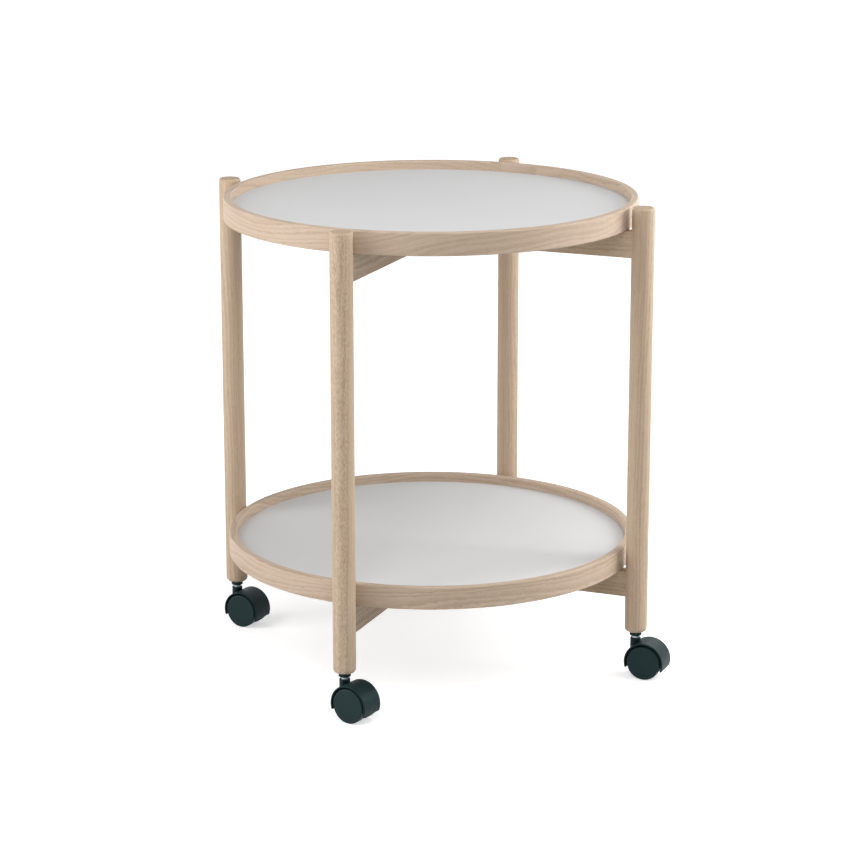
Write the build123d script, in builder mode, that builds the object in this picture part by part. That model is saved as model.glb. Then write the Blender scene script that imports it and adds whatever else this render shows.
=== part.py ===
from build123d import *
from math import cos, radians, sin, tan
import os

# A round two-tier tray trolley in oak. Two leg-and-rail frames cross at the middle and fold like
# scissors. Two loose round trays lie on the crossed rails, and each leg stands on a twin-wheel castor.
# The origin is on the floor under the middle of the trays, and +Z is up. All sizes are in millimetres.

# Trays
tray_diameter = 500.0
tray_height = 27.0
rim_wall = 9.5
rim_rounding = 1.5
core_thickness = 3.0
laminate_thickness = 0.7
groove_depth = 4.5
core_expansion_gap = 0.5
laminate_edge_gap = 0.2

# Legs
leg_diameter = 27.0
leg_to_rim_gap = 5.2
leg_stand_above_rim = 2.0
leg_top_rounding = 3.0
leg_foot_rounding = 5.0
leg_below_rails = 44.5
leg_angles = {"front_left": 225, "front_right": 315, "back_left": 135, "back_right": 45}

# Rails and their half-lap at the middle
rail_thickness = 17.0
rail_height = 31.5
rail_rounding = 1.2
rail_spacing = 417.5
fold_angle = 60.0
lap_side_clearance = 1.5

# Dowels between legs and rails
dowel_diameter = 8.0
dowel_length = 36.0
dowel_depth_in_leg = 15.0
dowel_spacing = 15.0
dowel_chamfer = 0.8
dowel_pocket = 1.0
glue_line = 0.05

# Pivot bolts
pivot_sleeve_diameter = 9.0
pivot_head_diameter = 14.0
pivot_head_height = 2.2
pivot_head_rounding = 0.8
pivot_bolt_diameter = 6.0
bolt_tip_gap = 7.5
pivot_key_size = 4.0
pivot_key_depth = 1.4
pivot_washer_diameter = 16.0
pivot_washer_thickness = 1.0
sleeve_below_rail_top = 1.5

# Castor wheels and axle
wheel_diameter = 42.0
wheel_width = 10.4
wheel_rounding = 1.4
wheel_wall = 2.4
tread_thickness = 3.5
hub_diameter = 13.0
hub_cap_thickness = 3.0
axle_diameter = 6.0
axle_chamfer = 0.5
axle_end_gap = 0.3

# Castor hood
hood_gap = 2.0
hood_wall = 1.9
hood_rounding = 0.6
hood_web = 10.0
hood_front_drop = 7.5
hood_rear_drop = 8.5
wheel_side_gap = 0.6
wheel_stands_proud = 0.4
web_hub_diameter = 13.0
castor_trail = 15.3
boss_wall = 3.2
boss_rise = 2.2
boss_rounding = 0.5

# Castor stem, its socket in the leg and its grip ring
stem_diameter = 8.0
stem_chamfer = 1.0
stem_end_gap = 1.0
journal_diameter = 6.5
journal_bore_depth = 20.0
shoulder_diameter = 9.2
shoulder_height = 2.8
flange_diameter = 14.5
flange_height = 5.2
flange_rounding = 1.0
socket_depth = 32.0
socket_wall = 1.8
grip_ring_height = 1.1
grip_ring_section = 1.0
grip_ring_stand = 0.4
grip_ring_below_top = 5.0
grip_ring_opening = 4.0
castor_headings = {"front_left": -58, "front_right": -46, "back_left": -54, "back_right": -50}

# Fits
running_clearance = 0.05
thrust_clearance = 0.2
groove_clearance = 0.1

# Heights that follow from the castor, stacked from the floor up
wheel_radius = wheel_diameter / 2
well_radius = wheel_radius + hood_gap
hood_radius = well_radius + hood_wall
hood_width = hood_web + 2 * (wheel_side_gap + wheel_width - wheel_stands_proud)
axle_height = wheel_radius
boss_radius = journal_diameter / 2 + boss_wall
boss_top = axle_height + hood_radius + boss_rise
journal_bore_bottom = boss_top - journal_bore_depth
shoulder_bottom = boss_top + thrust_clearance
flange_bottom = shoulder_bottom + shoulder_height
foot_height = flange_bottom + flange_height

# Heights of the rails and trays
lower_rail_bottom = foot_height + leg_below_rails
upper_rail_bottom = lower_rail_bottom + rail_spacing
rail_bottoms = {"lower": lower_rail_bottom, "upper": upper_rail_bottom}
leg_top = upper_rail_bottom + rail_height + tray_height + leg_stand_above_rim
leg_length = leg_top - foot_height

# The legs stand on a circle just outside the trays
tray_radius = tray_diameter / 2
leg_radius = leg_diameter / 2
leg_circle_radius = tray_radius + leg_to_rim_gap + leg_radius

# The laps: frame A keeps the upper tongues and frame B the lower ones
lap_gap = pivot_washer_thickness + thrust_clearance
tongue_height = (rail_height - lap_gap) / 2
folded_angle = 90 - fold_angle
lap_half_length = rail_thickness / 2 / tan(radians(folded_angle / 2)) + lap_side_clearance
frames = {"a": ("back_right", "front_left"), "b": ("back_left", "front_right")}

ON_BASE = (Align.CENTER, Align.CENTER, Align.MIN)
HANGING = (Align.CENTER, Align.CENTER, Align.MAX)
CORNER = (Align.MIN, Align.MIN)

os.makedirs("parts", exist_ok=True)


def save(piece, name):
    piece.part.label = name
    export_step(piece.part, f"parts/{name}.step")


def direction(heading):
    return Vector(cos(radians(heading)), sin(radians(heading)), 0)


def level_plane(origin, heading=0.0):
    """A level plane whose X axis points along a heading in degrees."""
    return Plane(origin=origin, x_dir=direction(heading))


def upright_plane(origin, heading):
    """An upright plane whose X axis points along a heading and whose Y axis points up."""
    return Plane(origin=origin, x_dir=direction(heading), z_dir=direction(heading).cross(Vector(0, 0, 1)))


def leg_axis(corner, height=0.0):
    return direction(leg_angles[corner]) * leg_circle_radius + Vector(0, 0, height)


# Legs: turned rods with a socket bore in the foot and dowel bores that face the middle
socket_outer_radius = stem_diameter / 2 + running_clearance + socket_wall
dowel_bore_radius = dowel_diameter / 2 + glue_line
dowel_heights = (rail_height / 2 - dowel_spacing / 2, rail_height / 2 + dowel_spacing / 2)
dowel_depth_in_rail = dowel_length - dowel_depth_in_leg

for corner, angle in leg_angles.items():
    with BuildPart(level_plane(leg_axis(corner, foot_height), angle + 180)) as leg:
        Cylinder(leg_radius, leg_length, align=ON_BASE)
        fillet(leg.faces().sort_by(Axis.Z)[-1].edges(), leg_top_rounding)
        fillet(leg.faces().sort_by(Axis.Z)[0].edges(), leg_foot_rounding)
        Cylinder(socket_outer_radius + glue_line, socket_depth, align=ON_BASE, mode=Mode.SUBTRACT)
        for rail_bottom in rail_bottoms.values():
            for dowel_height in dowel_heights:
                bore_end = leg_radius - dowel_depth_in_leg - dowel_pocket
                bore_height = rail_bottom + dowel_height - foot_height
                with Locations(Location((bore_end, 0, bore_height), (0, 90, 0))):
                    Cylinder(dowel_bore_radius, leg_diameter, align=ON_BASE, mode=Mode.SUBTRACT)
    save(leg, f"{corner}_leg")

# Rails: rounded bars, coped to the legs, with a half-lap, a pivot bore and dowel bores
for frame, corners in frames.items():
    heading = leg_angles[corners[0]]
    notch_bottom = 0 if frame == "a" else tongue_height
    for level, rail_bottom in rail_bottoms.items():
        middle = (0, 0, rail_bottom + rail_height / 2)
        with BuildPart(level_plane((0, 0, rail_bottom), heading)) as rail:
            with BuildSketch(upright_plane(middle, heading + 90)):
                RectangleRounded(rail_thickness, rail_height, rail_rounding)
            extrude(amount=leg_circle_radius, both=True)
            with Locations((leg_circle_radius, 0), (-leg_circle_radius, 0)):
                Cylinder(leg_radius, rail_height, align=ON_BASE, mode=Mode.SUBTRACT)
            with Locations((0, 0, notch_bottom)):
                Box(
                    2 * lap_half_length,
                    rail_thickness,
                    rail_height - tongue_height,
                    align=ON_BASE,
                    mode=Mode.SUBTRACT,
                )
            Cylinder(
                pivot_sleeve_diameter / 2 + running_clearance,
                rail_height,
                align=ON_BASE,
                mode=Mode.SUBTRACT,
            )
            bore_start = leg_circle_radius - leg_radius - dowel_depth_in_rail - dowel_pocket
            for side in (1, -1):
                for dowel_height in dowel_heights:
                    with Locations(Location((side * bore_start, 0, dowel_height), (0, side * 90, 0))):
                        Cylinder(dowel_bore_radius, leg_circle_radius, align=ON_BASE, mode=Mode.SUBTRACT)
        save(rail, f"{level}_rail_{frame}")

# Dowels of each frame, both levels
for frame, corners in frames.items():
    heading = leg_angles[corners[0]]
    rail_planes = [level_plane((0, 0, rail_bottom), heading) for rail_bottom in rail_bottoms.values()]
    dowel_start = leg_circle_radius - leg_radius - dowel_depth_in_rail
    with BuildPart(*rail_planes) as dowels:
        for side in (1, -1):
            for dowel_height in dowel_heights:
                with Locations(Location((side * dowel_start, 0, dowel_height), (0, side * 90, 0))):
                    Cylinder(dowel_diameter / 2, dowel_length, align=ON_BASE)
        chamfer(dowels.edges().filter_by(GeomType.CIRCLE), dowel_chamfer)
    save(dowels, f"frame_{frame}_dowels")

# Pivots: a flat-headed bolt from above screws into a sleeve from below, with a washer in the lap
for level, rail_bottom in rail_bottoms.items():
    rail_top = rail_bottom + rail_height
    sleeve_base = rail_bottom - thrust_clearance
    sleeve_length = rail_height + thrust_clearance - sleeve_below_rail_top
    bolt_length = rail_height + thrust_clearance - bolt_tip_gap
    with BuildPart(level_plane((0, 0, sleeve_base))) as sleeve:
        Cylinder(pivot_head_diameter / 2, pivot_head_height, align=HANGING)
        fillet(sleeve.faces().sort_by(Axis.Z)[0].edges(), pivot_head_rounding)
        Cylinder(pivot_sleeve_diameter / 2, sleeve_length, align=ON_BASE)
        Cylinder(pivot_bolt_diameter / 2, sleeve_length, align=ON_BASE, mode=Mode.SUBTRACT)
    save(sleeve, f"{level}_pivot_sleeve")

    with BuildPart(level_plane((0, 0, rail_top))) as bolt:
        Cylinder(pivot_head_diameter / 2, pivot_head_height, align=ON_BASE)
        fillet(bolt.faces().sort_by(Axis.Z)[-1].edges(), pivot_head_rounding)
        Cylinder(pivot_bolt_diameter / 2, bolt_length, align=HANGING)
        with BuildSketch(Plane.XY.offset(rail_top + pivot_head_height)):
            RegularPolygon(pivot_key_size / 2, 6, major_radius=False)
        extrude(amount=-pivot_key_depth, mode=Mode.SUBTRACT)
    save(bolt, f"{level}_pivot_bolt")

    washer_top = rail_top - tongue_height
    with BuildPart(level_plane((0, 0, washer_top))) as washer:
        Cylinder(pivot_washer_diameter / 2, pivot_washer_thickness, align=HANGING)
        Cylinder(
            pivot_sleeve_diameter / 2 + running_clearance,
            pivot_washer_thickness,
            align=HANGING,
            mode=Mode.SUBTRACT,
        )
    save(washer, f"{level}_pivot_washer")

# Trays: a grooved rim round a thin board with a laminate on each side, the same either way up
rim_inner_radius = tray_radius - rim_wall
groove_radius = rim_inner_radius + groove_depth
core_radius = groove_radius - core_expansion_gap
laminate_radius = rim_inner_radius - laminate_edge_gap

for level, rail_bottom in rail_bottoms.items():
    tray_bottom = rail_bottom + rail_height
    core_bottom = tray_bottom + (tray_height - core_thickness) / 2
    with BuildPart() as rim:
        with BuildSketch(upright_plane((0, 0, tray_bottom), 0)) as rim_section:
            with Locations((rim_inner_radius, 0)):
                Rectangle(rim_wall, tray_height, align=CORNER)
            fillet(rim_section.vertices(), rim_rounding)
            with Locations((rim_inner_radius, tray_height / 2)):
                Rectangle(
                    groove_depth,
                    core_thickness,
                    align=(Align.MIN, Align.CENTER),
                    mode=Mode.SUBTRACT,
                )
        revolve(axis=Axis.Z)
    save(rim, f"{level}_tray_rim")

    with BuildPart(level_plane((0, 0, core_bottom))) as core:
        Cylinder(core_radius, core_thickness, align=ON_BASE)
    save(core, f"{level}_tray_core")

    with BuildPart(level_plane((0, 0, core_bottom + core_thickness))) as top_laminate:
        Cylinder(laminate_radius, laminate_thickness, align=ON_BASE)
    save(top_laminate, f"{level}_tray_top_laminate")

    with BuildPart(level_plane((0, 0, core_bottom))) as bottom_laminate:
        Cylinder(laminate_radius, laminate_thickness, align=HANGING)
    save(bottom_laminate, f"{level}_tray_bottom_laminate")

# Sockets, stems and grip rings in the feet of the legs
stem_radius = stem_diameter / 2
stem_top = foot_height + socket_depth - stem_end_gap
journal_bottom = journal_bore_bottom + stem_end_gap
ring_top = stem_top - grip_ring_below_top
ring_inner_radius = stem_radius + grip_ring_stand - grip_ring_section
ring_outer_radius = stem_radius + grip_ring_stand
ring_groove_height = grip_ring_height + 2 * groove_clearance

for corner in leg_angles:
    foot_plane = level_plane(leg_axis(corner, foot_height))
    ring_groove_plane = level_plane(leg_axis(corner, ring_top + groove_clearance))

    with BuildPart(foot_plane) as socket:
        Cylinder(flange_diameter / 2, flange_height, align=HANGING)
        fillet(socket.faces().sort_by(Axis.Z)[0].edges(), flange_rounding)
        Cylinder(socket_outer_radius, socket_depth, align=ON_BASE)
        with BuildSketch(level_plane(leg_axis(corner, flange_bottom))):
            Circle(stem_radius + running_clearance)
        extrude(amount=flange_height + socket_depth, mode=Mode.SUBTRACT)
        with BuildSketch(ring_groove_plane):
            Circle(ring_outer_radius + groove_clearance)
        extrude(amount=-ring_groove_height, mode=Mode.SUBTRACT)
    save(socket, f"{corner}_socket")

    with BuildPart(level_plane(leg_axis(corner, flange_bottom))) as stem:
        Cylinder(stem_radius, stem_top - flange_bottom, align=ON_BASE)
        chamfer(stem.faces().sort_by(Axis.Z)[-1].edges(), stem_chamfer)
        Cylinder(shoulder_diameter / 2, shoulder_height, align=HANGING)
        Cylinder(journal_diameter / 2, flange_bottom - journal_bottom, align=HANGING)
        with BuildSketch(ring_groove_plane):
            Circle(stem_diameter)
            Circle(ring_inner_radius - groove_clearance, mode=Mode.SUBTRACT)
        extrude(amount=-ring_groove_height, mode=Mode.SUBTRACT)
    save(stem, f"{corner}_stem")

    with BuildPart() as grip_ring:
        with BuildSketch(level_plane(leg_axis(corner, ring_top))):
            Circle(ring_outer_radius)
            Circle(ring_inner_radius, mode=Mode.SUBTRACT)
            Rectangle(
                stem_diameter,
                grip_ring_opening,
                align=(Align.MIN, Align.CENTER),
                mode=Mode.SUBTRACT,
            )
        extrude(amount=-grip_ring_height)
    save(grip_ring, f"{corner}_grip_ring")

# Castors: a hood that swivels on the stem, an axle through its web and a wheel on each side
wheel_inner_face = hood_web / 2 + wheel_side_gap
wheel_bore_depth = wheel_width - hub_cap_thickness
axle_half_length = wheel_inner_face + wheel_bore_depth - axle_end_gap

for corner, heading in castor_headings.items():
    side_plane = upright_plane(leg_axis(corner, axle_height), heading)
    axle_middle = leg_axis(corner, axle_height) + direction(heading) * castor_trail

    with BuildPart() as hood:
        with BuildSketch(side_plane):
            with Locations((castor_trail, 0)):
                Circle(hood_radius)
            with Locations((castor_trail, -hood_front_drop)):
                Rectangle(
                    hood_radius,
                    hood_radius,
                    align=(Align.MAX, Align.MAX),
                    mode=Mode.SUBTRACT,
                )
            with Locations((castor_trail, -hood_rear_drop)):
                Rectangle(
                    hood_radius,
                    hood_radius,
                    align=(Align.MIN, Align.MAX),
                    mode=Mode.SUBTRACT,
                )
            with Locations((castor_trail, 0)):
                Circle(web_hub_diameter / 2)
        extrude(amount=hood_width / 2, both=True)
        side_faces = hood.faces().filter_by(Axis((0, 0, 0), side_plane.z_dir))
        crown_edges = side_faces.edges().filter_by(GeomType.CIRCLE).group_by(SortBy.RADIUS)[-1]
        fillet(crown_edges, hood_rounding)
        with BuildSketch(level_plane(leg_axis(corner, boss_top))):
            Circle(boss_radius)
        extrude(amount=axle_height - boss_top)
        fillet(hood.faces().sort_by(Axis.Z)[-1].edges(), boss_rounding)
        for side in (1, -1):
            with BuildSketch(side_plane.offset(side * hood_web / 2)):
                with Locations((castor_trail, 0)):
                    Circle(well_radius)
            extrude(amount=side * hood_width, mode=Mode.SUBTRACT)
        with BuildSketch(side_plane):
            with Locations((castor_trail, 0)):
                Circle(axle_diameter / 2)
        extrude(amount=hood_web, both=True, mode=Mode.SUBTRACT)
        with BuildSketch(level_plane(leg_axis(corner, boss_top))):
            Circle(journal_diameter / 2 + running_clearance)
        extrude(amount=journal_bore_bottom - boss_top, mode=Mode.SUBTRACT)
    save(hood, f"{corner}_hood")

    with BuildPart() as axle:
        with BuildSketch(upright_plane(axle_middle, heading)):
            Circle(axle_diameter / 2)
        extrude(amount=axle_half_length, both=True)
        chamfer(axle.edges().filter_by(GeomType.CIRCLE), axle_chamfer)
    save(axle, f"{corner}_axle")

    for side, outward in {"left": heading + 90, "right": heading - 90}.items():
        with BuildPart() as wheel:
            with BuildSketch(upright_plane(axle_middle, outward)) as wheel_section:
                with Locations((wheel_inner_face, 0)):
                    Rectangle(wheel_width, wheel_radius, align=CORNER)
                fillet(wheel_section.vertices().group_by(Axis.Y)[-1], wheel_rounding)
                with Locations((wheel_inner_face, hub_diameter / 2)):
                    Rectangle(
                        wheel_width - wheel_wall,
                        wheel_radius - tread_thickness - hub_diameter / 2,
                        align=CORNER,
                        mode=Mode.SUBTRACT,
                    )
                with Locations((wheel_inner_face, 0)):
                    Rectangle(
                        wheel_bore_depth,
                        axle_diameter / 2 + running_clearance,
                        align=CORNER,
                        mode=Mode.SUBTRACT,
                    )
            revolve(axis=Axis(axle_middle, direction(outward)))
        save(wheel, f"{corner}_wheel_{side}")
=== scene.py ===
from math import cos, pi, radians, sin

import bpy
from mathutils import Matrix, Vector


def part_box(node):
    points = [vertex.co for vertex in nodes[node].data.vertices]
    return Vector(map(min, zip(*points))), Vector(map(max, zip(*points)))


# The look of a round two-tier tray trolley in pale oak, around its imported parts. Places are in metres
# in the frame of the parts, and patterns are counted in millimetres.

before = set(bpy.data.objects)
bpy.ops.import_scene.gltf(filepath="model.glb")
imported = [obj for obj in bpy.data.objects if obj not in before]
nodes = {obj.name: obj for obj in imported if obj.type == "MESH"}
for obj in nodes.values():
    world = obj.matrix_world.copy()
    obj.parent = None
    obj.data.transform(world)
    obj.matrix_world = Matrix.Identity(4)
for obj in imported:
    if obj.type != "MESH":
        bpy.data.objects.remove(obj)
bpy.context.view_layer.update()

MM_IN_METRE = 1000
UP = Vector((0, 0, 1))
CORNERS = ("front_left", "front_right", "back_left", "back_right")
FRAME_LEGS = {"a": ("front_left", "back_right"), "b": ("front_right", "back_left")}
LEVELS = ("upper", "lower")
SIDES = ("left", "right")

# Camera, at the photograph's place and angle
CAMERA_PLACE = (-1.331, -3.1386, 1.1857)
CAMERA_TILT = radians(75.078)
CAMERA_TURN = radians(-23.044)
CAMERA_LENS = 118.82

# Lamps round the middle of the cart: turn in degrees from the camera's right hand towards the camera, lift in
# degrees, distance and size in metres, and power in watts
LAMP_AIM = Vector((0, 0, 0.3))
LAMPS = {
    "left_lamp": {"turn": 166, "lift": 8, "distance": 2.1, "size": 1.0, "power": 16},
    "left_near_lamp": {"turn": 153, "lift": 35, "distance": 1.4, "size": 0.8, "power": 7.5},
    "right_near_lamp": {"turn": 0, "lift": 23, "distance": 1.4, "size": 0.8, "power": 14.5},
    "right_high_lamp": {"turn": 12, "lift": 63, "distance": 2.1, "size": 1.0, "power": 16},
    "front_lamp": {"turn": 90, "lift": 41, "distance": 1.55, "size": 0.8, "power": 6.5},
    "back_left_lamp": {"turn": 236, "lift": 14, "distance": 2.1, "size": 1.0, "power": 5},
    "back_right_lamp": {"turn": 300, "lift": 14, "distance": 2.1, "size": 1.0, "power": 5},
}

# White surroundings: how strongly they are seen, and how strongly they light the cart
WHITE = (1, 1, 1, 1)
SEEN_LIGHT = 1.0
FILL_LIGHT = 0.08

# Floor: its paleness, and how much of the white behind it shows near the cart and far from it
FLOOR_HALF_WIDTH = 9.0
FLOOR_COLOUR = (0.82, 0.82, 0.82, 1)
FLOOR_ROUGHNESS = 0.9
FLOOR_NEAR = 0.5
FLOOR_FAR = 2.2
FLOOR_GLOW_NEAR = 0.55
FLOOR_GLOW_FAR = 1.0

# Noise: its middle, and how much it is stretched, because it mostly stays within a third of its range
NOISE_MIDDLE = (0.5, 0.5, 0.5)
NOISE_STRETCH = 3.0

# Oak: the colours of its pale and dark wood, pores and rays, and how strongly pores and rays show
OAK_PALE = (0.585, 0.455, 0.338, 1)
OAK_DARK = (0.415, 0.3, 0.204, 1)
OAK_PORE = (0.22, 0.145, 0.088, 1)
OAK_RAY = (0.63, 0.51, 0.39, 1)
PORE_STRENGTH = 0.45
RAY_STRENGTH = 0.3
OAK_SHINE = 0.35
OAK_RELIEF = 0.00012

# Sizes of the oak's features in millimetres, two across the fibres and one along them. The rays' sizes are
# counted round the heart of the tree, out from it and along the fibres. The straying of the rings only
# counts the first size, out from the heart.
GRAIN = {
    "drift": (90, 90, 240),
    "ripple": (7, 7, 30),
    "tremble": (2.2, 2.2, 8),
    "straying": (11, 1, 1),
    "fibre": (0.65, 0.65, 15),
    "streak": (2.4, 2.4, 50),
    "tone": (17, 17, 200),
    "fleck": (1.4, 1.4, 4),
    "pore": (0.28, 0.28, 6),
    "ray": (0.5, 11, 4.5),
}

# How far apart in the noise the boards of neighbouring seeds lie
BOARD_SHIFT = (370, 530, 710)

# Growth rings: how far they ripple and tremble, how many rings their count strays, how strong the faintest
# one is, and the shares of a ring where its early wood is strongest and where it ends
RIPPLE = 0.7
TREMBLE = 0.9
RING_STRAYING = 2.4
FAINTEST_RING = 0.3
EARLY_WOOD_PEAK = 0.24
EARLY_WOOD_END = 0.85

# Flecks, pores and rays: the levels of noise at which each starts and is full
FLECK_LEVELS = (0.4, 0.6)
PORE_LEVELS = (0.57, 0.7)
RAY_LEVELS = (0.6, 0.7)

# Flecks darken and lighten the wood by their swing. They are full within the first distance from the heart
# of the tree, and fall to a share of that at the second. Pores outside the early wood show in part. Rays are
# counted round a circle of this radius.
FLECK_SWING = 0.5
FLECK_FULL = 21
FLECK_FAINT = 25
FLECK_SHARE = 0.2
PORES_OUTSIDE = 0.25
RAY_CIRCLE = 120.0

# Darkness: how much each feature adds, a start that brings their sum near zero, and the darkness that stands
# for zero, on both sides of which a board's contrast stretches the sum
DARKNESS = {"early_wood": 0.5, "fibre": 0.44, "streak": 0.4, "tone": 0.42, "fleck": 1.0}
DARKNESS_START = -0.75
DARKNESS_MIDDLE = 0.43

# Roughness and height of the oak, each with what its features add or take away
OAK_ROUGHNESS = 0.5
FIBRE_ROUGHNESS = 0.16
RAY_GLOSS = 0.08
OAK_HEIGHT = 0.6
FIBRE_HEIGHT = 0.4
PORE_DEPTH = 0.6

# Boards: where the piece lies from the heart of the tree, how that leans for each millimetre along the piece,
# how far the grain drifts, how wide its rings are, how strongly it is flecked, how strong the whole figure is
# (contrast), and a seed of its own. What a board doesn't say is as on the common board.
COMMON_BOARD = {"drift": 5, "ring": 3.2, "fleck": 0.2, "contrast": 1}
LEG_BOARDS = {
    "front_left": {"heart": (20, 25, 0), "lean": (-0.003, -0.005, 0), "drift": 6, "fleck": 0.6, "seed": 1},
    "front_right": {"heart": (36, -14, 0), "lean": (-0.01, 0.012, 0), "seed": 2},
    "back_left": {"heart": (-34, 10, 0), "lean": (0.014, -0.018, 0), "seed": 3},
    "back_right": {"heart": (30, -16, 0), "lean": (0.02, 0.012, 0), "seed": 4},
}
RAIL_BOARD = {"heart": (24, 36, 0), "lean": (0.012, 0.01, 0), "contrast": 1.6}
FIRST_RAIL_SEED = 5
RIM_BOARDS = {
    "upper": {"heart": (30, 56, 0), "lean": (0.004, -0.1, 0), "drift": 22, "ring": 6, "seed": 9},
    "lower": {
        "heart": (34, 30, 0),
        "lean": (0.004, -0.03, 0),
        "drift": 16,
        "ring": 4.5,
        "contrast": 1.3,
        "seed": 10,
    },
}

# Tints of the boards, of their cut ends and of the rims' top and bottom edges, and how squarely a face has to
# lie to the cut before its tint starts and before it is full. The rails' tints are mostly painted shade,
# which darkens the rails as if in the shade under the trays, with a little of each board's own tone between
# them.
LEG_TINT = (1, 0.992, 0.97, 1)
# Rail tints: painted shade under the trays, strongest on the rails of frame a and the lower rails, plus a
# little board tone
RAIL_TONE_AND_SHADE_TINTS = {
    "upper_rail_a": (0.75, 0.74, 0.7, 1),
    "upper_rail_b": (0.98, 0.96, 0.91, 1),
    "lower_rail_a": (0.73, 0.72, 0.68, 1),
    "lower_rail_b": (0.78, 0.75, 0.68, 1),
}
RIM_TINT = (1.03, 1.045, 1.09, 1)
END_TINT = (0.75, 0.71, 0.67, 1)
# Rims' top and bottom faces: darker partly for their edge grain and partly as painted shade
EDGE_GRAIN_AND_SHADE_TINT = (0.88, 0.87, 0.86, 1)
CUT_STARTS = 0.7
CUT_FULL = 0.98

# Woods hidden inside: pale and dark colours, grain, roughness and relief
BEECH_PALE = (0.66, 0.49, 0.33, 1)
BEECH_DARK = (0.5, 0.34, 0.21, 1)
BEECH_GRAIN = (4, 4, 0.7)
FIBREBOARD_PALE = (0.47, 0.36, 0.25, 1)
FIBREBOARD_DARK = (0.33, 0.24, 0.15, 1)
FIBREBOARD_GRAIN = (0.6, 0.6, 0.3)
HIDDEN_WOOD_ROUGHNESS = (0.6, 0.8)
HIDDEN_WOOD_RELIEF = 0.0001

# Laminate: its two slightly clouded greys, and its pearled skin
LAMINATE_GREY = (0.603, 0.604, 0.605, 1)
LAMINATE_CLOUD = (0.625, 0.625, 0.624, 1)
LAMINATE_PEARL = (0.56, 0.56, 0.56, 1)
LAMINATE_ROUGHNESS = 0.58
LAMINATE_SHINE = 0.16
CLOUD_GRAIN = (90, 90, 90)
CLOUD_ROUGHNESS = 0.06
PEARL_GRAIN = (0.6, 0.6, 0.6)
PEARL_LEVELS = (0.35, 0.65)
PEARL_STRENGTH = 0.1
PEARL_ROUGHNESS = 0.14
PEARL_RELIEF = 0.00002

# Moulded plastics: clean and worn colours, shine and its tint, handling marks and the etched skin
HOOD_BLACK = (0.006, 0.0148, 0.0162, 1)
HOOD_WORN = (0.0095, 0.0195, 0.021, 1)
HOOD_SHINE = 0.16
HOOD_SHINE_TINT = (0.56, 0.93, 0.98, 1)
NYLON_CLEAN = (0.72, 0.71, 0.66, 1)
NYLON_WORN = (0.62, 0.61, 0.56, 1)
NYLON_SHINE = 0.4
PLASTIC_ROUGHNESS = 0.35
MARKS_GRAIN = (6, 6, 6)
MARKS_LEVELS = (0.45, 0.75)
MARKS_ROUGHNESS = 0.2
ETCH_GRAIN = (0.35, 0.35, 0.35)
ETCH_RELIEF = 0.00004

# Wheels: colours, shine, roughness and height with what each feature adds, scuffs on the tread, the pitch of
# the turning marks, and where the tread starts and is full, in from the wheel's edge
WHEEL_BLACK = (0.0076, 0.018, 0.0198, 1)
WHEEL_SCUFFED = (0.019, 0.033, 0.035, 1)
WHEEL_SHINE = 0.2
WHEEL_SHINE_TINT = (0.65, 0.93, 0.98, 1)
WHEEL_ROUGHNESS = 0.38
ETCH_ROUGHNESS = 0.1
TREAD_ROUGHNESS = 0.2
WHEEL_HEIGHT = 0.4
ETCH_HEIGHT = 0.4
TURNING_HEIGHT = 0.1
SCUFF_GRAIN = (2.5, 2.5, 2.5)
SCUFF_LEVELS = (0.42, 0.68)
TURNING_PITCH = 0.8
TREAD_STARTS = 1.2
TREAD_FULL = 0.2

# Zinc-plated steel: its two greys, its spangle and its turning marks
ZINC_DARK = (0.26, 0.32, 0.35, 1)
ZINC_PALE = (0.38, 0.44, 0.47, 1)
ZINC_ROUGHNESS = (0.26, 0.42)
ZINC_RELIEF = 0.00002
SPANGLE_GRAIN = (1.6, 1.6, 1.6)
SPANGLE_LEVELS = (0.2, 0.8)
ZINC_TURNING_GRAIN = (8, 8, 0.18)


# Short calls for building node trees


def add(tree, kind, inputs, **settings):
    """Adds a node. An input, by name or number, is a socket to link or a value to set."""
    node = tree.nodes.new("ShaderNode" + kind)
    for key, value in settings.items():
        setattr(node, key, value)
    wire(tree, node, inputs)
    return node


def wire(tree, node, inputs):
    """Links sockets to a node's inputs and sets its other inputs to values."""
    for key, value in inputs.items():
        if isinstance(value, bpy.types.NodeSocket):
            tree.links.new(value, node.inputs[key])
        else:
            node.inputs[key].default_value = value


def maths(tree, operation, first, second=0.0, third=0.0):
    """One sum on numbers."""
    return add(tree, "Math", {0: first, 1: second, 2: third}, operation=operation).outputs[0]


def times(tree, first, second):
    return maths(tree, "MULTIPLY", first, second)


def weighted(tree, start, *terms):
    """A start value plus each socket times its weight."""
    total = start
    for socket, weight in terms:
        total = maths(tree, "MULTIPLY_ADD", socket, weight, total)
    return total


def vector(tree, operation, first, second):
    """One sum on vectors."""
    return add(tree, "VectorMath", {0: first, 1: second}, operation=operation).outputs["Vector"]


def plus(tree, first, second):
    return vector(tree, "ADD", first, second)


def scaled(tree, value, factor):
    return add(tree, "VectorMath", {0: value, "Scale": factor}, operation="SCALE").outputs["Vector"]


def dot(tree, first, second):
    return add(tree, "VectorMath", {0: first, 1: second}, operation="DOT_PRODUCT").outputs["Value"]


def length(tree, value):
    return add(tree, "VectorMath", {0: value}, operation="LENGTH").outputs["Value"]


def join(tree, x, y, z):
    """A vector from three numbers."""
    return add(tree, "CombineXYZ", {0: x, 1: y, 2: z}).outputs[0]


def parts_of(tree, value):
    """The three numbers of a vector."""
    return add(tree, "SeparateXYZ", {0: value}).outputs


def flattened(tree, value):
    """A vector without its Z."""
    return vector(tree, "MULTIPLY", value, (1, 1, 0))


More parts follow.
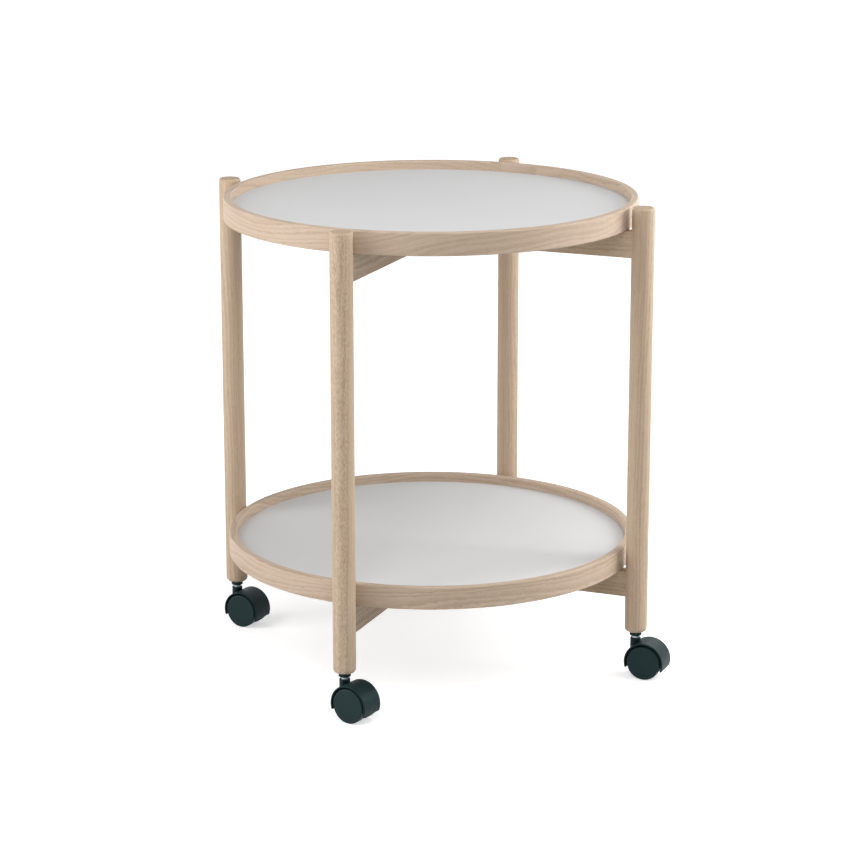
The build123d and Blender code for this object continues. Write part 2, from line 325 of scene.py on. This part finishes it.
def noise(tree, place, grain, detail=2.0, output="Fac"):
    """Noise whose grains are about as long along each axis as grain says."""
    spread = vector(tree, "DIVIDE", place, grain)
    return add(tree, "TexNoise", {"Vector": spread, "Scale": 1.0, "Detail": detail}).outputs[output]


def swing(tree, place, grain, reach):
    """A vector that swings smoothly about zero and mostly stays within reach."""
    turn = vector(tree, "SUBTRACT", noise(tree, place, grain, detail=1, output="Color"), NOISE_MIDDLE)
    return scaled(tree, turn, times(tree, reach, NOISE_STRETCH))


def fade(tree, value, start, end, low=0.0, high=1.0):
    """Runs smoothly from low to high as value goes from start to end."""
    span = {"Value": value, "From Min": start, "From Max": end, "To Min": low, "To Max": high}
    return add(tree, "MapRange", span, interpolation_type="SMOOTHSTEP").outputs[0]


def mix(tree, share, first, second, blend="MIX"):
    """A mixed colour. The sockets go by number, because the node has others of the same names."""
    return add(tree, "Mix", {0: share, 6: first, 7: second}, data_type="RGBA", blend_type=blend).outputs[2]


def tinted(tree, colour, tint):
    return mix(tree, 1.0, colour, tint, blend="MULTIPLY")


def bump(tree, height, relief):
    """A surface normal from a height that runs from 0 to 1 and stands for a relief in metres."""
    return add(tree, "Bump", {"Height": height, "Distance": relief, "Strength": 1.0}).outputs[0]


# Short calls for materials and parts


def new_material(name):
    """A material with its tree and its main shader."""
    material = bpy.data.materials.new(name)
    material.use_nodes = True
    tree = material.node_tree
    return material, tree, tree.nodes["Principled BSDF"]


def dress(node, material):
    """Gives a part its material in place of the one it was packed with."""
    slots = nodes[node].data.materials
    slots.clear()
    slots.append(material)


def middle_of(node):
    low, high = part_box(node)
    return (low + high) / 2


def object_place(tree, origin=(0, 0, 0)):
    """A point of the part in millimetres from an origin given in metres."""
    place = vector(tree, "SUBTRACT", add(tree, "TexCoord", {}).outputs["Object"], origin)
    return scaled(tree, place, MM_IN_METRE)


# Oak


def make_oak_group():
    """Oak with its fibres along Z, in millimetres: rings about a distant heart, fibres, pores and rays."""
    tree = bpy.data.node_groups.new("oak_figure", "ShaderNodeTree")
    for name in ("Place", "Heart", "Lean"):
        tree.interface.new_socket(name, in_out="INPUT", socket_type="NodeSocketVector")
    for name in ("Drift", "Ring", "Fleck", "Contrast", "Seed"):
        tree.interface.new_socket(name, in_out="INPUT", socket_type="NodeSocketFloat")
    tree.interface.new_socket("Color", in_out="OUTPUT", socket_type="NodeSocketColor")
    for name in ("Roughness", "Height"):
        tree.interface.new_socket(name, in_out="OUTPUT", socket_type="NodeSocketFloat")
    given = tree.nodes.new("NodeGroupInput").outputs
    made = tree.nodes.new("NodeGroupOutput").inputs
    place = given["Place"]
    along = parts_of(tree, place)[2]
    sample = plus(tree, place, scaled(tree, BOARD_SHIFT, given["Seed"]))

    # Flow: how the whole grain leans and drifts along the board
    sway = plus(tree, scaled(tree, given["Lean"], along), swing(tree, sample, GRAIN["drift"], given["Drift"]))
    flow = plus(tree, sample, sway)

    # Rings: the distance from the heart of the tree, with ripples, counted in rings
    across = plus(tree, plus(tree, place, given["Heart"]), sway)
    across = plus(tree, across, swing(tree, sample, GRAIN["ripple"], RIPPLE))
    across = plus(tree, across, swing(tree, sample, GRAIN["tremble"], TREMBLE))
    across = flattened(tree, across)
    radius = length(tree, across)
    straying = noise(tree, join(tree, radius, 0, 0), GRAIN["straying"])
    count = weighted(tree, maths(tree, "DIVIDE", radius, given["Ring"]), (straying, RING_STRAYING))
    phase = maths(tree, "FRACT", count)
    ring = {"W": maths(tree, "FLOOR", count)}
    strength = add(tree, "TexWhiteNoise", ring, noise_dimensions="1D").outputs["Value"]
    strength = weighted(tree, FAINTEST_RING, (strength, 1 - FAINTEST_RING))
    rise = fade(tree, phase, 0, EARLY_WOOD_PEAK)
    fall = fade(tree, phase, EARLY_WOOD_PEAK, EARLY_WOOD_END, 1, 0)
    early_wood = times(tree, times(tree, rise, fall), strength)

    # Fine fibres, broader streaks and slow changes of tone
    fibre = noise(tree, flow, GRAIN["fibre"], detail=3)
    streak = noise(tree, flow, GRAIN["streak"])
    tone = noise(tree, flow, GRAIN["tone"])

    # Flecks: short scales, strongest in the wood near the heart
    fleck = noise(tree, sample, GRAIN["fleck"], detail=1)
    fleck = fade(tree, fleck, *FLECK_LEVELS, -FLECK_SWING, FLECK_SWING)
    fleck = times(tree, fleck, fade(tree, radius, FLECK_FULL, FLECK_FAINT, 1, FLECK_SHARE))
    fleck = times(tree, fleck, given["Fleck"])

    # Pores: short dark dashes, mostly in the early wood
    pore = fade(tree, noise(tree, flow, GRAIN["pore"], detail=1), *PORE_LEVELS)
    pore = times(tree, pore, weighted(tree, PORES_OUTSIDE, (early_wood, 1 - PORES_OUTSIDE)))

    # Rays: pale flecks that run straight out from the heart
    x, y, _ = parts_of(tree, across)
    turn = times(tree, maths(tree, "ARCTAN2", y, x), RAY_CIRCLE)
    ray_place = join(tree, turn, radius, parts_of(tree, sample)[2])
    ray = fade(tree, noise(tree, ray_place, GRAIN["ray"], detail=1), *RAY_LEVELS)

    # Colour, gloss and relief
    features = {"early_wood": early_wood, "fibre": fibre, "streak": streak, "tone": tone, "fleck": fleck}
    darkness = weighted(tree, DARKNESS_START, *((features[name], DARKNESS[name]) for name in DARKNESS))
    darkness = weighted(tree, DARKNESS_MIDDLE, (darkness, given["Contrast"]))
    colour = mix(tree, darkness, OAK_PALE, OAK_DARK)
    colour = mix(tree, times(tree, ray, RAY_STRENGTH), colour, OAK_RAY)
    colour = mix(tree, times(tree, pore, PORE_STRENGTH), colour, OAK_PORE)
    roughness = weighted(tree, OAK_ROUGHNESS, (fibre, FIBRE_ROUGHNESS), (ray, -RAY_GLOSS))
    height = weighted(tree, OAK_HEIGHT, (fibre, FIBRE_HEIGHT), (pore, -PORE_DEPTH))
    tree.links.new(colour, made["Color"])
    tree.links.new(roughness, made["Roughness"])
    tree.links.new(height, made["Height"])
    return tree


OAK = make_oak_group()


def oak_material(name, place_of, board, tint, cut, cut_tint):
    """Oak for one piece. Its faces square to the cut direction take a further tint: the darker end grain, and
    on the rims' top and bottom faces a darkening that is partly edge grain and partly painted shade.
    """
    material, tree, shader = new_material(name)
    figure = add(tree, "Group", {}, node_tree=OAK)
    wire(tree, figure, {"Place": place_of(tree)})
    wire(tree, figure, {key.title(): value for key, value in {**COMMON_BOARD, **board}.items()})
    colour = tinted(tree, figure.outputs["Color"], tint)
    facing = maths(tree, "ABSOLUTE", dot(tree, add(tree, "TexCoord", {}).outputs["Normal"], cut))
    colour = mix(tree, fade(tree, facing, CUT_STARTS, CUT_FULL), colour, tinted(tree, colour, cut_tint))
    wire(tree, shader, {
        "Base Color": colour,
        "Roughness": figure.outputs["Roughness"],
        "Specular IOR Level": OAK_SHINE,
        "Normal": bump(tree, figure.outputs["Height"], OAK_RELIEF),
    })
    return material


def straight_grain(origin, along, across):
    """Places in a straight piece, counted from origin, with Z along its fibres."""

    def place_of(tree):
        place = object_place(tree, origin)
        directions = (across, along.cross(across), along)
        return join(tree, *(dot(tree, place, direction) for direction in directions))

    return place_of


def bent_grain(origin, radius, joint):
    """Places in a bent rim, with Z round the ring. The ends of the bent strip meet where joint points."""

    def place_of(tree):
        place = object_place(tree, origin)
        turn = maths(tree, "ARCTAN2", dot(tree, place, UP.cross(-joint)), dot(tree, place, -joint))
        out = maths(tree, "SUBTRACT", length(tree, flattened(tree, place)), radius * MM_IN_METRE)
        return join(tree, out, parts_of(tree, place)[2], times(tree, turn, radius * MM_IN_METRE))

    return place_of


def frame_direction(letter):
    """The way from a frame's front leg to its back leg."""
    front, back = FRAME_LEGS[letter]
    return (middle_of(f"{back}_leg") - middle_of(f"{front}_leg")).normalized()


for corner in CORNERS:
    leg = f"{corner}_leg"
    grain = straight_grain(middle_of(leg), UP, Vector((1, 0, 0)))
    dress(leg, oak_material(f"oak_{leg}", grain, LEG_BOARDS[corner], LEG_TINT, UP, END_TINT))

# Each rail takes its tint, which is mostly painted shade under the trays
for seed, (rail, tint) in enumerate(RAIL_TONE_AND_SHADE_TINTS.items(), start=FIRST_RAIL_SEED):
    along = frame_direction(rail[-1])
    grain = straight_grain(middle_of(rail), along, UP)
    dress(rail, oak_material(f"oak_{rail}", grain, {**RAIL_BOARD, "seed": seed}, tint, along, END_TINT))

for level in LEVELS:
    rim = f"{level}_tray_rim"
    low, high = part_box(rim)
    grain = bent_grain(middle_of(rim), (high.x - low.x) / 2, frame_direction("a"))
    # The rims' top and bottom faces take painted shade as well as their darker edge grain
    dress(rim, oak_material(f"oak_{rim}", grain, RIM_BOARDS[level], RIM_TINT, UP, EDGE_GRAIN_AND_SHADE_TINT))


# Other woods, hidden inside the frames and trays


def plain_wood(name, pale, dark, grain):
    """Wood with one even pattern."""
    material, tree, shader = new_material(name)
    pattern = noise(tree, object_place(tree), grain, detail=3)
    wire(tree, shader, {
        "Base Color": mix(tree, pattern, pale, dark),
        "Roughness": fade(tree, pattern, 0, 1, *HIDDEN_WOOD_ROUGHNESS),
        "Normal": bump(tree, pattern, HIDDEN_WOOD_RELIEF),
    })
    return material


beech = plain_wood("beech_dowel", BEECH_PALE, BEECH_DARK, BEECH_GRAIN)
fibreboard = plain_wood("fibreboard", FIBREBOARD_PALE, FIBREBOARD_DARK, FIBREBOARD_GRAIN)
for letter in FRAME_LEGS:
    dress(f"frame_{letter}_dowels", beech)
for level in LEVELS:
    dress(f"{level}_tray_core", fibreboard)


# Laminate


def laminate_material():
    """Pale grey-white laminate with a fine pearled skin."""
    material, tree, shader = new_material("laminate")
    place = object_place(tree)
    pearl = noise(tree, place, PEARL_GRAIN)
    cloud = noise(tree, place, CLOUD_GRAIN, detail=3)
    colour = mix(tree, cloud, LAMINATE_GREY, LAMINATE_CLOUD)
    colour = mix(tree, fade(tree, pearl, *PEARL_LEVELS, 0, PEARL_STRENGTH), colour, LAMINATE_PEARL)
    wire(tree, shader, {
        "Base Color": colour,
        "Roughness": weighted(tree, LAMINATE_ROUGHNESS, (pearl, PEARL_ROUGHNESS), (cloud, CLOUD_ROUGHNESS)),
        "Specular IOR Level": LAMINATE_SHINE,
        "Normal": bump(tree, pearl, PEARL_RELIEF),
    })
    return material


laminate = laminate_material()
for level in LEVELS:
    for face in ("top", "bottom"):
        dress(f"{level}_tray_{face}_laminate", laminate)


# Castor plastic, nylon and zinc-plated steel


def moulded_plastic(name, colour, worn, shine, shine_tint):
    """Moulded plastic with a fine etched skin and soft handling marks."""
    material, tree, shader = new_material(name)
    place = object_place(tree)
    etch = noise(tree, place, ETCH_GRAIN)
    marks = noise(tree, place, MARKS_GRAIN, detail=4)
    wire(tree, shader, {
        "Base Color": mix(tree, fade(tree, marks, *MARKS_LEVELS), colour, worn),
        "Roughness": weighted(tree, PLASTIC_ROUGHNESS, (marks, MARKS_ROUGHNESS)),
        "Specular IOR Level": shine,
        "Specular Tint": shine_tint,
        "Normal": bump(tree, etch, ETCH_RELIEF),
    })
    return material


def wheel_plastic(name, middle, axle, radius):
    """The plastic of one wheel: faint turning marks on its faces and a tread scuffed by the floor."""
    material, tree, shader = new_material(name)
    place = object_place(tree, middle)
    sideways = dot(tree, place, axle)
    out = length(tree, vector(tree, "SUBTRACT", place, scaled(tree, axle, sideways)))
    turning = maths(tree, "SINE", times(tree, out, 2 * pi / TURNING_PITCH))
    etch = noise(tree, place, ETCH_GRAIN)
    scuffs = fade(tree, noise(tree, place, SCUFF_GRAIN, detail=4), *SCUFF_LEVELS)
    tread = times(tree, fade(tree, out, radius - TREAD_STARTS, radius - TREAD_FULL), scuffs)
    height = weighted(tree, WHEEL_HEIGHT, (etch, ETCH_HEIGHT), (turning, TURNING_HEIGHT))
    wire(tree, shader, {
        "Base Color": mix(tree, tread, WHEEL_BLACK, WHEEL_SCUFFED),
        "Roughness": weighted(tree, WHEEL_ROUGHNESS, (etch, ETCH_ROUGHNESS), (tread, TREAD_ROUGHNESS)),
        "Specular IOR Level": WHEEL_SHINE,
        "Specular Tint": WHEEL_SHINE_TINT,
        "Normal": bump(tree, height, ETCH_RELIEF),
    })
    return material


def zinc_steel():
    """Zinc-plated steel with a faint spangle and turning marks."""
    material, tree, shader = new_material("zinc_steel")
    place = object_place(tree)
    spangle = noise(tree, place, SPANGLE_GRAIN, detail=3)
    turning = noise(tree, place, ZINC_TURNING_GRAIN, detail=1)
    wire(tree, shader, {
        "Base Color": mix(tree, spangle, ZINC_DARK, ZINC_PALE),
        "Metallic": 1.0,
        "Roughness": fade(tree, spangle, *SPANGLE_LEVELS, *ZINC_ROUGHNESS),
        "Normal": bump(tree, turning, ZINC_RELIEF),
    })
    return material


hood_plastic = moulded_plastic("castor_plastic", HOOD_BLACK, HOOD_WORN, HOOD_SHINE, HOOD_SHINE_TINT)
nylon = moulded_plastic("nylon", NYLON_CLEAN, NYLON_WORN, NYLON_SHINE, WHITE)
steel = zinc_steel()
for corner in CORNERS:
    for piece in ("socket", "hood"):
        dress(f"{corner}_{piece}", hood_plastic)
    for piece in ("stem", "grip_ring", "axle"):
        dress(f"{corner}_{piece}", steel)
    wheels = [f"{corner}_wheel_{side}" for side in SIDES]
    axle = (middle_of(wheels[0]) - middle_of(wheels[1])).normalized()
    for wheel in wheels:
        low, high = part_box(wheel)
        radius = MM_IN_METRE * (high.z - low.z) / 2
        dress(wheel, wheel_plastic(f"plastic_{wheel}", middle_of(wheel), axle, radius))
for level in LEVELS:
    for piece in ("bolt", "sleeve"):
        dress(f"{level}_pivot_{piece}", steel)
    dress(f"{level}_pivot_washer", nylon)


# Floor, world, lamps and camera


def place_in_scene(name, data):
    """A new object of the scene."""
    thing = bpy.data.objects.new(name, data)
    bpy.context.scene.collection.objects.link(thing)
    return thing


def seen_directly(tree):
    """1 for what the camera sees itself, in a mirror or through glass, and 0 for light on the object."""
    path = add(tree, "LightPath", {}).outputs
    seen = maths(tree, "MAXIMUM", path["Is Camera Ray"], path["Is Glossy Ray"])
    return maths(tree, "MAXIMUM", seen, path["Is Transmission Ray"])


def make_floor():
    """A pale floor that takes the cart's shadow and turns into the white background further off."""
    square = ((-1, -1), (1, -1), (1, 1), (-1, 1))
    corners = [(x * FLOOR_HALF_WIDTH, y * FLOOR_HALF_WIDTH, 0) for x, y in square]
    mesh = bpy.data.meshes.new("floor")
    mesh.from_pydata(corners, [], [range(len(corners))])
    floor = place_in_scene("floor", mesh)
    material, tree, shader = new_material("pale_floor")
    distance = length(tree, add(tree, "TexCoord", {}).outputs["Object"])
    glow = fade(tree, distance, FLOOR_NEAR, FLOOR_FAR, FLOOR_GLOW_NEAR, FLOOR_GLOW_FAR)
    wire(tree, shader, {
        "Base Color": FLOOR_COLOUR,
        "Roughness": FLOOR_ROUGHNESS,
        "Emission Color": WHITE,
        "Emission Strength": times(tree, seen_directly(tree), glow),
    })
    mesh.materials.append(material)


def make_world():
    """White surroundings that light the cart only faintly."""
    world = bpy.data.worlds.new("studio")
    bpy.context.scene.world = world
    world.use_nodes = True
    tree = world.node_tree
    strength = fade(tree, seen_directly(tree), 0, 1, FILL_LIGHT, SEEN_LIGHT)
    wire(tree, tree.nodes["Background"], {"Color": WHITE, "Strength": strength})


def make_lamps():
    """Square lamps that all face the middle of the cart."""
    right = Vector((cos(CAMERA_TURN), sin(CAMERA_TURN), 0))
    towards = Vector((sin(CAMERA_TURN), -cos(CAMERA_TURN), 0))
    for name, lamp in LAMPS.items():
        light = bpy.data.lights.new(name, "AREA")
        light.size = lamp["size"]
        light.energy = lamp["power"]
        turn = radians(lamp["turn"])
        lift = radians(lamp["lift"])
        outwards = (right * cos(turn) + towards * sin(turn)) * cos(lift) + UP * sin(lift)
        holder = place_in_scene(name, light)
        holder.location = LAMP_AIM + outwards * lamp["distance"]
        holder.rotation_euler = outwards.to_track_quat("Z", "Y").to_euler()


def make_camera():
    """The camera, with a long lens."""
    camera = place_in_scene("camera", bpy.data.cameras.new("camera"))
    camera.location = CAMERA_PLACE
    camera.rotation_euler = (CAMERA_TILT, 0, CAMERA_TURN)
    camera.data.lens = CAMERA_LENS
    bpy.context.scene.camera = camera


make_floor()
make_world()
make_lamps()
make_camera()
bpy.context.scene.view_settings.view_transform = "Standard"
